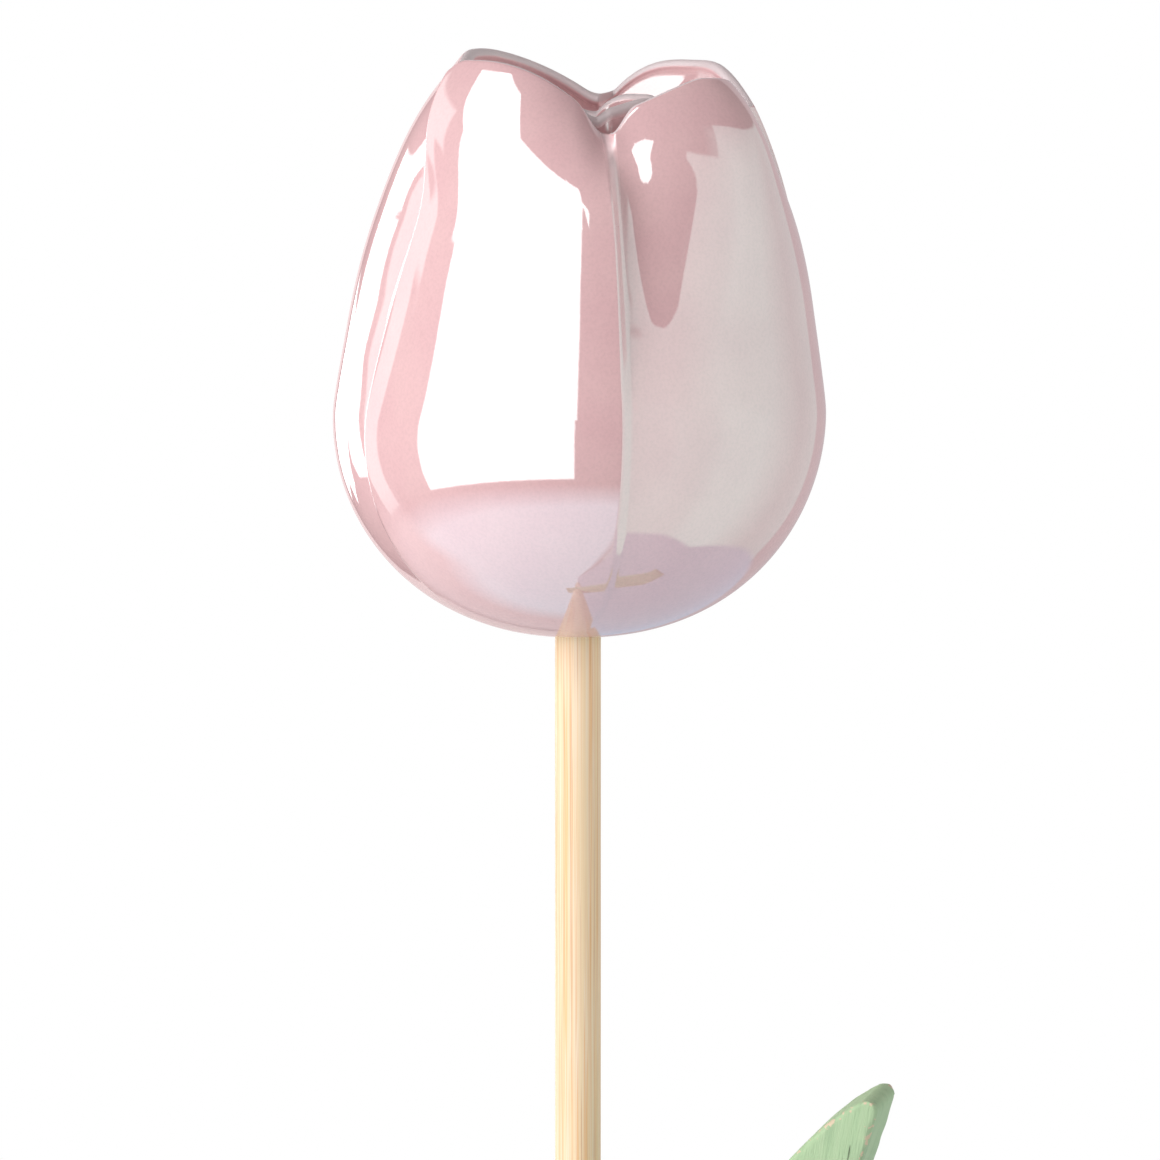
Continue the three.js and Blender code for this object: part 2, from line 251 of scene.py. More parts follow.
CROWN_START = 0.060
CROWN_TOP = 0.072
BOW_START_HEIGHT = 0.020
BOW_FULL_HEIGHT = 0.046
BOW_EASE_HEIGHT = 0.055
BOW_TURNED_HEIGHT = 0.072
TUCK_START_HEIGHT = 0.016
TUCK_END_HEIGHT = 0.045
TUCK_FADE = 0.010
CURL_POWER = 1.7
SHORTEST_CURL = 0.001
STEEPEST_LEAN = 2
OVERLAP_STEP = 0.0012
OVERLAP_SPREAD = 30
OVERLAP_FADE_HEIGHT = 0.009
WIDE_FILLET = 0.0006
WIDE_FILLET_WIDTH = 11
NOTCH_FILLET_WIDTH = 8
NOTCH_FILLET_START_HEIGHT = 0.034
NOTCH_FILLET_FULL_HEIGHT = 0.045
TIGHT_FILLET = 0.0004
EDGE_WIDTH = 1.6
EDGE_WIDTH_AT_NOTCH = 2.6
EDGE_WIDEN_HEIGHT = 0.052
NOTCH_HEIGHT = 0.065
HOLLOW_SQUEEZE = 0.225
HOLLOW_SQUEEZE_START = 0.022
HOLLOW_SQUEEZE_SPAN = 0.045
HOLLOW_SQUEEZE_POWER = 1.8
HOLLOW_STEPS = 40
BORE_CHAMFER = 0.0002
TIP_ROUNDING = 0.15
NOTCH_ROUNDING = 0.12
PLUNGE_WIDTH = 12
LIP_RADIUS = 0.00085
CUP_FLOOR = HEAD_HEIGHT - 0.019
CUP_SQUARENESS = 1.0
LIP_OVERHANG = 0.0008
INNER_RING_RADIUS = 0.0102
INNER_RING_DROP = 0.007
INNER_RING_NOTCH = 0.0023
INNER_RING_PINCH = 0.1
INNER_RING_LIP_RADIUS = 0.0009
PIT_SQUARENESS = 0.6
PIT_FLOOR = HEAD_HEIGHT - INNER_RING_DROP - 0.010
SKIN_ROWS = 150
LIP_ROWS = 12
CUP_ROWS = 40
RING_LIP_ROWS = 10
PIT_ROWS = 20
DEGREES_PER_COLUMN = 1.0
SPARE_COLUMNS = 24
LIP_INSIDE_ROWS = 3
RING_FOOT_ROWS = 2
BARE_FOOT_ROWS = 4
LIP_THINNESS = 0.6
LIP_INSIDE_THINNESS = 0.3
RING_FOOT_THINNESS = 0.15
THIN_GROOVE = 0.45
THIN_GROOVE_HEIGHT = 0.046
THIN_GROOVE_FADE = 0.016
THIN_GROOVE_WIDTH = 3.5
GLAZE_WAVE_LENGTH = 0.011
GLAZE_WAVE = 0.00004


def petal_side(notch_drop, fall, dip=0, dip_start=0.0415, bow=0, curl_start=HEAD_HEIGHT, sunk=0, fillet=0,
               plunge=0, tuck=0):
    """How a petal runs to the groove on one side: its rim's drop to the notch and the power of that fall,
    its dip and the height where that starts, its bow, the height where it curls in, its share of the
    overlap, the extra fillet below the notch, the share of the rim's drop that comes just beside the notch,
    and how far the belly is tucked in at the groove."""
    return {"notch_drop": notch_drop, "fall": fall, "dip": dip, "dip_start": dip_start, "bow": bow,
            "curl_start": curl_start, "sunk": sunk, "fillet": fillet, "plunge": plunge, "tuck": tuck}


FRONT = {"start": -60, "end": 11, "tip": -49, "tip_drop": 0.0019, "crest": 5, "bulge": 0,
         "crown": 0,
         "left": petal_side(0.004, 2, bow=0.0014),
         "right": petal_side(0.0111, 2.15, curl_start=0.057, plunge=0.2)}
RIGHT = {"start": 11, "end": 104, "tip": 50, "tip_drop": 0.0041, "crest": 53, "bulge": 0.0034,
         "crown": 0.0022,
         "left": petal_side(0.0111, 1, dip=0.0058, dip_start=0.0312, sunk=1, fillet=0.00055, plunge=0.32),
         "right": petal_side(0.0085, 1.3, dip=0.0200, sunk=0.6)}
BEHIND = {"start": 104, "end": 175, "tip": 141, "tip_drop": 0.0028, "crest": 139, "bulge": 0.0013,
          "crown": 0,
          "left": petal_side(0.0085, 2.8, dip=0.0015),
          "right": petal_side(0.0072, 2.7, dip=0.001, curl_start=0.05)}
LEFT = {"start": 175, "end": 300, "tip": 260, "tip_drop": 0.0010, "crest": 237, "bulge": -0.0012,
        "crown": 0,
        "left": petal_side(0.0072, 1.78, dip=0.001, curl_start=0.05, sunk=0.6),
        "right": petal_side(0.004, 2, bow=0.0014, sunk=0.8, tuck=0.0009)}
PETALS = [FRONT, RIGHT, BEHIND, LEFT]


def mix(first, second, share):
    """From the first value to the second by the share."""
    return first + (second - first) * share


def crest_radius(z):
    """The head's radius at its petals' middles, from the foot up to the rim."""
    foot_share = (FOOT_RADIUS / HEAD_WIDEST_RADIUS) ** (1 / BELLY_ROOT)
    foot_reach = (1 - foot_share) ** (1 / BELLY_POWER)
    below = foot_reach * (1 - np.minimum(z / HEAD_WIDEST_HEIGHT, 1))
    belly = HEAD_WIDEST_RADIUS * (1 - below ** BELLY_POWER) ** BELLY_ROOT
    rise = np.maximum(z - HEAD_WIDEST_HEIGHT, 0) / (HEAD_HEIGHT - HEAD_WIDEST_HEIGHT)
    taper = SHOULDER_TAPER * rise * rise / (rise + SHOULDER_SOFTNESS)
    return belly - taper - SHOULDER_ROUNDING * rise ** 4


def groove_twist(azimuth, z):
    """How many degrees the head is twisted at a place: at the foot, at the top and by the left groove."""
    at_foot = GROOVE_BASE_TWIST * np.exp(-z / GROOVE_BASE_TWIST_HEIGHT)
    at_top = GROOVE_TOP_TWIST * (z / GROOVE_TOP_TWIST_HEIGHT) ** 4
    from_left_groove = (azimuth - FRONT["start"] + 180) % 360 - 180
    beside = np.exp(-(from_left_groove / LEFT_GROOVE_SWING_SPREAD) ** 2)
    level = np.exp(-((z - LEFT_GROOVE_SWING_HEIGHT) / LEFT_GROOVE_SWING_SPAN) ** 2)
    return LEFT_GROOVE_SWING * beside * level - at_foot - at_top


def rounded_rise(share, power, rounding):
    """A rise from 0 to 1 by a power of the share, rounded off at both ends."""
    share = (np.hypot(share, TIP_ROUNDING) - TIP_ROUNDING) / (math.hypot(1, TIP_ROUNDING) - TIP_ROUNDING)
    past = np.maximum(share - (1 - rounding), 0)
    return (share ** power - past * past * power / (2 * rounding)) / (1 - rounding * power / 2)


def rim_fall(petal, azimuth):
    """How far a petal's rim has fallen from its tip (0) to the notch beside it (1), and that notch's drop
    below the head's top."""
    to_left = azimuth < petal["tip"]
    edge = np.where(to_left, petal["start"], petal["end"])
    power = np.where(to_left, petal["left"]["fall"], petal["right"]["fall"])
    drop = np.where(to_left, petal["left"]["notch_drop"], petal["right"]["notch_drop"])
    plunge = np.where(to_left, petal["left"]["plunge"], petal["right"]["plunge"])
    share = np.clip((azimuth - petal["tip"]) / (edge - petal["tip"]), 0, 1)
    near = np.clip(1 - np.abs(azimuth - edge) / PLUNGE_WIDTH, 0, 1)
    return mix(rounded_rise(share, power, NOTCH_ROUNDING), smooth_step(near), plunge), drop


def height_share(z, start, end):
    """How far a height lies from the start (0) to the end (1), and a little past it."""
    return np.clip((z - start) / (end - start), 0, DIP_OVERSHOOT)


def smooth_step(share):
    """The share from 0 to 1, eased at both ends."""
    share = np.clip(share, 0, 1)
    return share * share * (3 - 2 * share)


def open_radius(petal, azimuth, z):
    """The petal's own radius, before it meets its neighbours in the grooves."""
    to_left = azimuth < petal["crest"]
    edge = np.where(to_left, petal["start"], petal["end"])
    away = np.clip((azimuth - petal["crest"]) / (edge - petal["crest"]), 0, 1)
    softened = np.sqrt(away ** 2 + DIP_SOFTNESS ** 2) - DIP_SOFTNESS
    softened = softened / (math.hypot(1, DIP_SOFTNESS) - DIP_SOFTNESS)
    left, right = petal["left"], petal["right"]
    dip_left = left["dip"] * height_share(z, left["dip_start"], DIP_TOP) ** DIP_POWER * softened
    levelled = away ** 2 / (1 + (away / DIP_LEVEL) ** 4)
    right_share = height_share(z, right["dip_start"], DIP_TOP)
    dip_right = right["dip"] * np.minimum(right_share, RIGHT_DIP_OVERSHOOT) ** 2 * levelled
    bulge = petal["bulge"] * right_share ** BULGE_POWER
    crown = petal["crown"] * np.maximum(z - CROWN_START, 0) ** 3 / (CROWN_TOP - CROWN_START) ** 3
    bowed = smooth_step((z - BOW_START_HEIGHT) / (BOW_FULL_HEIGHT - BOW_START_HEIGHT))
    eased = smooth_step((z - BOW_EASE_HEIGHT) / (BOW_TURNED_HEIGHT - BOW_EASE_HEIGHT))
    bow = np.where(to_left, left["bow"], right["bow"]) * (bowed - 2 * eased) * away ** 2
    over_start = smooth_step((z - TUCK_START_HEIGHT) / TUCK_FADE)
    under_end = smooth_step((TUCK_END_HEIGHT - z) / TUCK_FADE)
    tuck = np.where(to_left, 0, right["tuck"]) * over_start * under_end * away ** 4

    fall, notch_drop = rim_fall(petal, azimuth)
    drop = (notch_drop - petal["tip_drop"]) * fall
    rim_height = HEAD_HEIGHT - petal["tip_drop"] - drop
    curl_start = np.where(azimuth < petal["tip"], left["curl_start"], right["curl_start"])
    curl_height = np.maximum(rim_height - curl_start, SHORTEST_CURL)
    curl = np.clip((z - curl_start) / curl_height, 0, 1) ** CURL_POWER
    lifted = np.minimum(z + drop * curl, HEAD_HEIGHT)

    step = OVERLAP_STEP * (1 - np.exp(-z / OVERLAP_FADE_HEIGHT))
    from_left = azimuth - petal["start"]
    from_right = petal["end"] - azimuth
    sunk = left["sunk"] * overlap(from_left) + right["sunk"] * overlap(from_right)
    fillet_span = NOTCH_FILLET_FULL_HEIGHT - NOTCH_FILLET_START_HEIGHT
    rise = smooth_step((z - NOTCH_FILLET_START_HEIGHT) / fillet_span)
    fillet = rise * left["fillet"] * np.clip(1 - from_left / NOTCH_FILLET_WIDTH, 0, 1) ** 2
    radius = crest_radius(lifted) + bulge - crown - np.where(to_left, dip_left, dip_right) - bow - tuck
    return radius - step * sunk + fillet


def overlap(degrees):
    """How far a petal lies under its neighbour, in steps: it fades with the degrees from the groove, and
    a wide fillet fills it again beside the groove."""
    fillet = WIDE_FILLET / OVERLAP_STEP * np.clip(1 - degrees / WIDE_FILLET_WIDTH, 0, 1) ** 2
    return np.exp(-degrees / OVERLAP_SPREAD) - fillet


def skin_radius(petal, azimuth, z):
    """The petal's radius, rolled or filleted at both edges to the floor of the groove there."""
    index = PETALS.index(petal)
    before = PETALS[index - 1]
    after = PETALS[(index + 1) % len(PETALS)]
    radius = open_radius(petal, azimuth, z)
    edges = ((petal["start"], before["end"], before), (petal["end"], after["start"], after))
    for near, beyond, far in edges:
        own = open_radius(petal, np.full_like(azimuth, near), z)
        other = open_radius(far, np.full_like(azimuth, beyond), z)
        step = np.abs(own - other)
        floor = np.minimum(own, other) + np.minimum(TIGHT_FILLET, step / 2)
        widen = smooth_step((z - EDGE_WIDEN_HEIGHT) / (NOTCH_HEIGHT - EDGE_WIDEN_HEIGHT))
        width = np.where(floor > own, EDGE_WIDTH, mix(EDGE_WIDTH, EDGE_WIDTH_AT_NOTCH, widen))
        nearness = np.clip(1 - np.abs(azimuth - near) / width, 0, 1)
        radius = radius + (floor - own) * nearness ** 2
    return radius


def skin_tilt(petal, azimuth, z):
    """How far the petal leans in at a height, as an angle from upright."""
    probe = 0.0003
    above = skin_radius(petal, azimuth, z + probe)
    below = skin_radius(petal, azimuth, z - probe)
    return np.arctan(np.clip((below - above) / (2 * probe), 0, STEEPEST_LEAN))


def head_sections(petal, azimuth):
    """Radii and heights from the foot, over the lip, through the cup and into the pit."""
    fall, notch_drop = rim_fall(petal, azimuth)
    lip_level = HEAD_HEIGHT - petal["tip_drop"] - (notch_drop - petal["tip_drop"]) * fall - LIP_RADIUS
    lip_base = lip_level + LIP_RADIUS * np.sin(skin_tilt(petal, azimuth, lip_level))
    share = np.linspace(0, 1, SKIN_ROWS)[None, :]
    skin_z = lip_base * share * share * (3 - share) / 2
    skin_r = skin_radius(petal, azimuth, skin_z)

    tilt = np.arcsin((lip_base - lip_level) / LIP_RADIUS)
    turn = mix(tilt, math.pi + tilt, np.linspace(0, 1, LIP_ROWS + 1)[None, 1:])
    lip_centre = skin_r[:, -1:] - LIP_RADIUS * np.cos(tilt)
    lip_r = lip_centre + LIP_RADIUS * np.cos(turn)
    lip_z = lip_level + LIP_RADIUS * np.sin(turn)

    ring_radius = INNER_RING_RADIUS * (1 - INNER_RING_PINCH * fall)
    ring_base = HEAD_HEIGHT - INNER_RING_DROP - INNER_RING_NOTCH * fall - INNER_RING_LIP_RADIUS
    share = np.linspace(0, 1, CUP_ROWS + 1)[None, 1:-1]
    sag = np.sin(math.pi * share) ** CUP_SQUARENESS
    cup_r = mix(lip_r[:, -1:], ring_radius + INNER_RING_LIP_RADIUS, 1 - (1 - share) ** 3)
    cup_z = mix(mix(lip_z[:, -1:], ring_base, share), CUP_FLOOR, sag)
    below_lip = np.maximum(lip_z[:, -1:] - cup_z, 0)
    overhang = np.tan(tilt) * LIP_OVERHANG * (1 - np.exp(-below_lip / LIP_OVERHANG))
    cup_r = cup_r + overhang * (1 - share)

    turn = np.linspace(0, math.pi, RING_LIP_ROWS + 1)[None, :]
    ring_r = ring_radius + INNER_RING_LIP_RADIUS * np.cos(turn)
    ring_z = ring_base + INNER_RING_LIP_RADIUS * np.sin(turn)

    turn = np.linspace(0, math.pi / 2, PIT_ROWS + 2)[None, 1:-1]
    pit_r = (ring_radius - INNER_RING_LIP_RADIUS) * np.cos(turn) ** PIT_SQUARENESS
    pit_z = mix(ring_base, PIT_FLOOR, np.sin(turn))

    radii = np.concatenate([skin_r, lip_r, cup_r, ring_r, pit_r], axis=1)
    heights = np.concatenate([skin_z, lip_z, cup_z, ring_z, pit_z], axis=1)
    return radii, heights


def column_azimuths(petal):
    """The petal's columns, close together at its grooves."""
    steps = round((petal["end"] - petal["start"]) / DEGREES_PER_COLUMN) + SPARE_COLUMNS
    swing = (1 - np.cos(np.linspace(0, math.pi, steps + 1))) / 2
    return mix(petal["start"] + GROOVE_HALF_WIDTH, petal["end"] - GROOVE_HALF_WIDTH, swing)[:, None]


def head_grid():
    """The outside of the head by columns and rows, with its twist, its glaze's waves and its lean."""
    radii, heights, azimuths = [], [], []
    for petal in PETALS:
        azimuth = column_azimuths(petal)
        section_radii, section_heights = head_sections(petal, azimuth)
        radii.append(section_radii)
        heights.append(section_heights)
        azimuths.append(azimuth)
    radii = np.concatenate(radii)
    heights = np.concatenate(heights)
    azimuths = np.concatenate(azimuths)
    turn = np.radians(azimuths + groove_twist(azimuths, heights))
    plain = np.stack([radii * np.sin(turn), -radii * np.cos(turn), heights], axis=-1)
    waves = waver(plain, GLAZE_WAVE_LENGTH, 7).reshape(radii.shape)
    radii = radii + GLAZE_WAVE * waves * np.clip(heights / HEAD_WIDEST_HEIGHT, 0, 1)
    lean = HEAD_LEAN * (heights / HEAD_HEIGHT) ** 2
    return np.stack([radii * np.sin(turn) + lean, -radii * np.cos(turn), heights + FOOT_LEVEL], axis=-1)


def squeezed_radius(z):
    """A radius that lies inside every petal at its height."""
    rise = np.clip((z - HOLLOW_SQUEEZE_START) / HOLLOW_SQUEEZE_SPAN, 0, 1)
    return crest_radius(z) * (1 - HOLLOW_SQUEEZE * rise ** HOLLOW_SQUEEZE_POWER) - OVERLAP_STEP


def hollow_profile(wall):
    """Radii and heights of the hollow inside the wall, from the foot up to the roof."""
    probe = 0.00001
    z = (CUP_FLOOR - wall) * (np.arange(1, HOLLOW_STEPS + 1) / HOLLOW_STEPS) ** 2
    radius = squeezed_radius(z)
    slope = (squeezed_radius(z + probe) - radius) / probe
    length = np.hypot(1, slope)
    height = z + wall * slope / length
    radius = radius - wall / length
    within = (radius > BORE_RADIUS) & (height < CUP_FLOOR - wall)
    return radius[within], height[within]


def hollow_grid(outside):
    """The hollow, the bore and the foot's underside, from the roof down, in the outside's columns."""
    roof = CUP_FLOOR - HEAD_WALL
    radius, height = hollow_profile(HEAD_WALL)
    profile = [(radius[-1] / 2, roof), (radius[-1], roof)]
    profile += list(zip(radius[::-1], height[::-1]))
    profile += [(BORE_RADIUS, HEAD_WALL), (BORE_RADIUS, HEAD_WALL / 2), (BORE_RADIUS, BORE_CHAMFER),
                (BORE_RADIUS + BORE_CHAMFER, 0)]
    turn = np.arctan2(outside[:, 0, 0], -outside[:, 0, 1])[:, None]
    profile = np.array(profile)
    rounds = np.stack([np.sin(turn), -np.cos(turn)], axis=-1) * profile[None, :, :1]
    heights = np.broadcast_to(profile[None, :, 1:] + FOOT_LEVEL, (len(turn), len(profile), 1))
    return np.concatenate([rounds, heights], axis=-1), roof + FOOT_LEVEL


outside = head_grid()
inside, roof_level = hollow_grid(outside)
pit_middle = (HEAD_LEAN * (PIT_FLOOR / HEAD_HEIGHT) ** 2, 0, PIT_FLOOR + FOOT_LEVEL)
head = closed_skin("tulip_head_glazed", np.concatenate([inside, outside], axis=1),
                   [(0, 0, roof_level), pit_middle])
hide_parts("tulip_head")
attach(head, "stem")


def mark_points(piece, name, values, poles=0):
    """A value stored at each point of a piece, with nothing at the poles that end a closed skin."""
    layer = piece.data.attributes.new(name, "FLOAT", "POINT")
    layer.data.foreach_set("value", np.concatenate([values.ravel(), np.zeros(poles)]).astype(np.float32))


def thin_glaze_values():
    """How thin the glaze lies at each point: thin over the lips, and along the grooves under the notches.
    Thin glaze is dull, and pale where it is thinnest."""
    thin = np.zeros((len(outside), inside.shape[1] + outside.shape[1]))
    skin_first = inside.shape[1]
    lip_first = skin_first + SKIN_ROWS
    ring_first = lip_first + LIP_ROWS + CUP_ROWS - 1
    thin[:, lip_first + 1:lip_first + LIP_ROWS] = LIP_INSIDE_THINNESS
    thin[:, lip_first + 1:lip_first + LIP_ROWS - LIP_INSIDE_ROWS] = LIP_THINNESS
    thin[:, ring_first - RING_FOOT_ROWS:ring_first] = RING_FOOT_THINNESS
    thin[:, ring_first:ring_first + RING_LIP_ROWS] = LIP_THINNESS
    sides = [column_azimuths(petal) for petal in PETALS]
    from_groove = np.concatenate([np.minimum(side - side[0], side[-1] - side) for side in sides])
    height = outside[:, :SKIN_ROWS, 2] - FOOT_LEVEL
    below_notch = smooth_step((height - THIN_GROOVE_HEIGHT) / THIN_GROOVE_FADE)
    beside_groove = np.clip(1 - from_groove / THIN_GROOVE_WIDTH, 0, 1)
    thin[:, skin_first:lip_first] = THIN_GROOVE * below_notch * beside_groove
    return thin


def bare_foot_values():
    """Which points the glaze leaves bare: the hollow, the bore and the foot."""
    bare = np.zeros((len(outside), inside.shape[1] + outside.shape[1]))
    bare[:, :inside.shape[1] + BARE_FOOT_ROWS] = 1
    return bare


mark_points(head, "thin_glaze", thin_glaze_values(), 2)
mark_points(head, "bare_foot", bare_foot_values(), 2)


def pearl_glaze_finish():
    pink = (0.90, 0.575, 0.585)
    rose = (0.86, 0.53, 0.55)
    thin = (0.66, 0.62, 0.63)
    clay = (0.86, 0.84, 0.80)
    material, tree, shader = new_material("pearl_glaze")
    place = add(tree, "ShaderNodeTexCoord").outputs["Object"]
    cloud = add(tree, "ShaderNodeTexNoise", sockets={"Vector": place, "Scale": 120.0, "Detail": 4.0})
    speck = add(tree, "ShaderNodeTexNoise", sockets={"Vector": place, "Scale": 2600.0, "Detail": 2.0})
    glaze = ramp(tree, cloud.outputs["Fac"], [(0.35, pink), (0.68, rose)])
    specks = ramp(tree, speck.outputs["Fac"], [(0.30, (0.94, 0.94, 0.94)), (0.60, (1, 1, 1))])
    glaze = blend_colours(tree, 1.0, glaze, specks, "MULTIPLY")
    lips = add(tree, "ShaderNodeAttribute", attribute_name="thin_glaze").outputs["Fac"]
    foot = add(tree, "ShaderNodeAttribute", attribute_name="bare_foot").outputs["Fac"]
    pale = add(tree, "ShaderNodeMapRange", sockets={"Value": lips, "From Min": 0.3, "To Max": 1.6})
    colour = blend_colours(tree, pale.outputs[0], glaze, thin)
    tree.links.new(blend_colours(tree, foot, colour, clay), shader.inputs["Base Color"])
    dull = add(tree, "ShaderNodeMath", operation="MULTIPLY_ADD", sockets={0: lips, 1: 1.0, 2: 0.025})
    rough = add(tree, "ShaderNodeMath", operation="MAXIMUM", sockets={0: dull.outputs[0], 1: foot})
    tree.links.new(rough.outputs[0], shader.inputs["Roughness"])
    peel = add(tree, "ShaderNodeTexNoise", sockets={"Vector": place, "Scale": 900.0, "Detail": 2.0})
    bump = add(tree, "ShaderNodeBump",
               sockets={"Height": peel.outputs["Fac"], "Strength": 0.2, "Distance": 0.00001})
    tree.links.new(bump.outputs[0], shader.inputs["Normal"])
    shader.inputs["IOR"].default_value = 2.3
    shader.inputs["Specular IOR Level"].default_value = 0.65
    shader.inputs["Specular Tint"].default_value = (0.86, 1.0, 0.98, 1)
    return material


head.data.materials.append(pearl_glaze_finish())


# Glue
# Hot-melt glue that was run into the bottom of the head round the stick and set there as a milky plug
# with a rounded rim. It is what holds the head on the stick.

GLUE_RADIUS = 0.010
GLUE_TOP = 0.0125
GLUE_GAP = 0.00025
GLUE_RIM = 0.0015
GLUE_DISH = 0.0008
GLUE_SIDES = 96
GLUE_FLOOR_STEPS = 16
GLUE_RIM_STEPS = 10
GLUE_TOP_STEPS = 12


def turned_skin(name, section, sides):
    """A ring turned from a closed section of radii and heights, given counter-clockwise."""
    radii, heights = section
    turn = np.linspace(0, 2 * math.pi, sides, endpoint=False)[:, None]
    along = np.broadcast_to(heights, (sides, len(heights)))
    return closed_skin(name, np.stack([radii * np.sin(turn), -radii * np.cos(turn), along], axis=-1))


def glue_section():
    """The glue's section: up the hollow's floor, over the rounded rim and across the dished top."""
    floor_radii, floor_heights = hollow_profile(HEAD_WALL + GLUE_GAP)
    widest = int(np.argmax(floor_radii)) + 1
    floor_r = np.linspace(BORE_RADIUS, GLUE_RADIUS, GLUE_FLOOR_STEPS)
    floor_z = np.interp(floor_r, floor_radii[:widest], floor_heights[:widest])
    turn = np.linspace(0, math.pi / 2, GLUE_RIM_STEPS)
    rim_r = GLUE_RADIUS - GLUE_RIM + GLUE_RIM * np.cos(turn)
    rim_z = GLUE_TOP - GLUE_RIM + GLUE_RIM * np.sin(turn)
    share = np.linspace(0, 1, GLUE_TOP_STEPS)[1:]
    top_r = mix(GLUE_RADIUS - GLUE_RIM, BORE_RADIUS, share)
    top_z = GLUE_TOP - GLUE_DISH * np.sin(math.pi * share)
    radii = np.concatenate([floor_r, rim_r, top_r])
    heights = np.concatenate([floor_z, rim_z, top_z])
    return radii, heights + FOOT_LEVEL


glue = turned_skin("glue_plug_set", glue_section(), GLUE_SIDES)
glue.data.set_sharp_from_angle(angle=math.radians(50))
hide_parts("glue_plug")
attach(glue, "stem")


def hot_glue_finish():
    milky = (0.85, 0.82, 0.72)
    amber = (0.78, 0.71, 0.55)
    material, tree, shader = new_material("hot_glue")
    place = add(tree, "ShaderNodeTexCoord").outputs["Object"]
    swirl = add(tree, "ShaderNodeTexNoise",
                sockets={"Vector": place, "Scale": 300.0, "Detail": 3.0, "Distortion": 1.5})
    swirled = ramp(tree, swirl.outputs["Fac"], [(0.35, milky), (0.70, amber)])
    tree.links.new(swirled, shader.inputs["Base Color"])
    rough = add(tree, "ShaderNodeMapRange",
                sockets={"Value": swirl.outputs["Fac"], "To Min": 0.3, "To Max": 0.5})
    tree.links.new(rough.outputs[0], shader.inputs["Roughness"])
    return material


glue.data.materials.append(hot_glue_finish())


# Grip ring
# A ring of clear soft silicone, cut from tube and with its edges rounded. It grips the stick under the
# leaf's heel, so the leaf stays at the height where it is set.

ring_low, ring_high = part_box("grip_ring")
RING_ROUNDING = 0.0008
RING_SIDES = 96
RING_FLAT_STEPS = 4
CORNER_STEPS = 7


def rounded_loop(half_wide, half_high, rounding, wide_steps, high_steps):
    """Points round a rectangle with rounded corners, by its right, top, left and bottom sides in turn."""
    bend = np.linspace(0, math.pi / 2, CORNER_STEPS)
    wide_share = np.linspace(-1, 1, wide_steps + 2)[1:-1]
    high_share = np.linspace(-1, 1, high_steps + 2)[1:-1]
    flat_wide, flat_high = half_wide - rounding, half_high - rounding
    falling, rising = rounding * np.cos(bend), rounding * np.sin(bend)
    full_wide, full_high = half_wide + 0 * high_share, half_high + 0 * wide_share
    wide = [full_wide, flat_wide + falling, -flat_wide * wide_share, -flat_wide - rising,
            -full_wide, -flat_wide - falling, flat_wide * wide_share, flat_wide + rising]
    high = [flat_high * high_share, flat_high + rising, full_high, flat_high + falling,
            -flat_high * high_share, -flat_high - rising, -full_high, -flat_high - falling]
    shape = np.broadcast_shapes(np.shape(full_wide)[:-1], np.shape(full_high)[:-1])
    wide = [np.broadcast_to(side, shape + side.shape[-1:]) for side in wide]
    high = [np.broadcast_to(side, shape + side.shape[-1:]) for side in high]
    return np.concatenate(wide, axis=-1), np.concatenate(high, axis=-1)


def ring_section():
    """The ring's section, a rounded rectangle from the bore to the outside."""
    half_wide = (ring_high.x - BORE_RADIUS) / 2
    half_high = (ring_high.z - ring_low.z) / 2
    wide, high = rounded_loop(half_wide, half_high, RING_ROUNDING, RING_FLAT_STEPS, RING_FLAT_STEPS)
    return wide + BORE_RADIUS + half_wide, high + ring_low.z + half_high


grip_ring = turned_skin("grip_ring_cut", ring_section(), RING_SIDES)
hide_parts("grip_ring")
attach(grip_ring, "grip_ring")


def clear_rubber_finish():
    clear = (0.92, 0.94, 0.92)
    hazy = (0.84, 0.87, 0.84)
    material, tree, shader = new_material("clear_rubber")
    place = add(tree, "ShaderNodeTexCoord").outputs["Object"]
    haze = add(tree, "ShaderNodeTexNoise", sockets={"Vector": place, "Scale": 700.0, "Detail": 3.0})
    tint = ramp(tree, haze.outputs["Fac"], [(0.35, clear), (0.70, hazy)])
    tree.links.new(tint, shader.inputs["Base Color"])
    rough = add(tree, "ShaderNodeMapRange",
                sockets={"Value": haze.outputs["Fac"], "To Min": 0.18, "To Max": 0.34})
    tree.links.new(rough.outputs[0], shader.inputs["Roughness"])
    shader.inputs["IOR"].default_value = 1.41
    shader.inputs["Transmission Weight"].default_value = 0.8
    return material


grip_ring.data.materials.append(clear_rubber_finish())


# Leaf
# A board of pale wood sawn to a leaf's outline, with its arrises broken by sanding and one thin coat of
# green paint brushed on, which shows the grain and cracks and is rubbed off along the arrises. It is cut
# square at the heel, drilled there and threaded on the stick.

leaf_low, leaf_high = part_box("leaf")
LEAF_HEEL_LEVEL = leaf_low.z
LEAF_REACH = 0.0827
LEAF_SPREAD = 30.4
LEAF_YAW = 15
LEAF_TIP_FORWARD = 5
LEAF_HALF_WIDTH = 0.0086
LEAF_HALF_THICKNESS = 0.00545
LEAF_ARRIS = 0.0006
LEAF_TIP_RADIUS = 0.0015
LEAF_TAIL = 0.014
LEAF_TAIL_MIDDLE = 0.0009
LEAF_DENT = 0.00022
LEAF_DENT_LENGTH = 0.0022
LEAF_DENT_SPREAD = 0.0008
LEAF_DENT_SHARE = 0.25
LEAF_WEAR_SPREAD = 0.0024
LEAF_FACE_DEPTH = 0.0008
LEAF_CUT_DEPTH = 0.00005
LEAF_WAVE = 0.00006
LEAF_WAVE_LENGTH = 0.008
LEAF_BEND_HEIGHT = LEAF_HALF_WIDTH / math.sin(math.radians(LEAF_SPREAD)) / 2
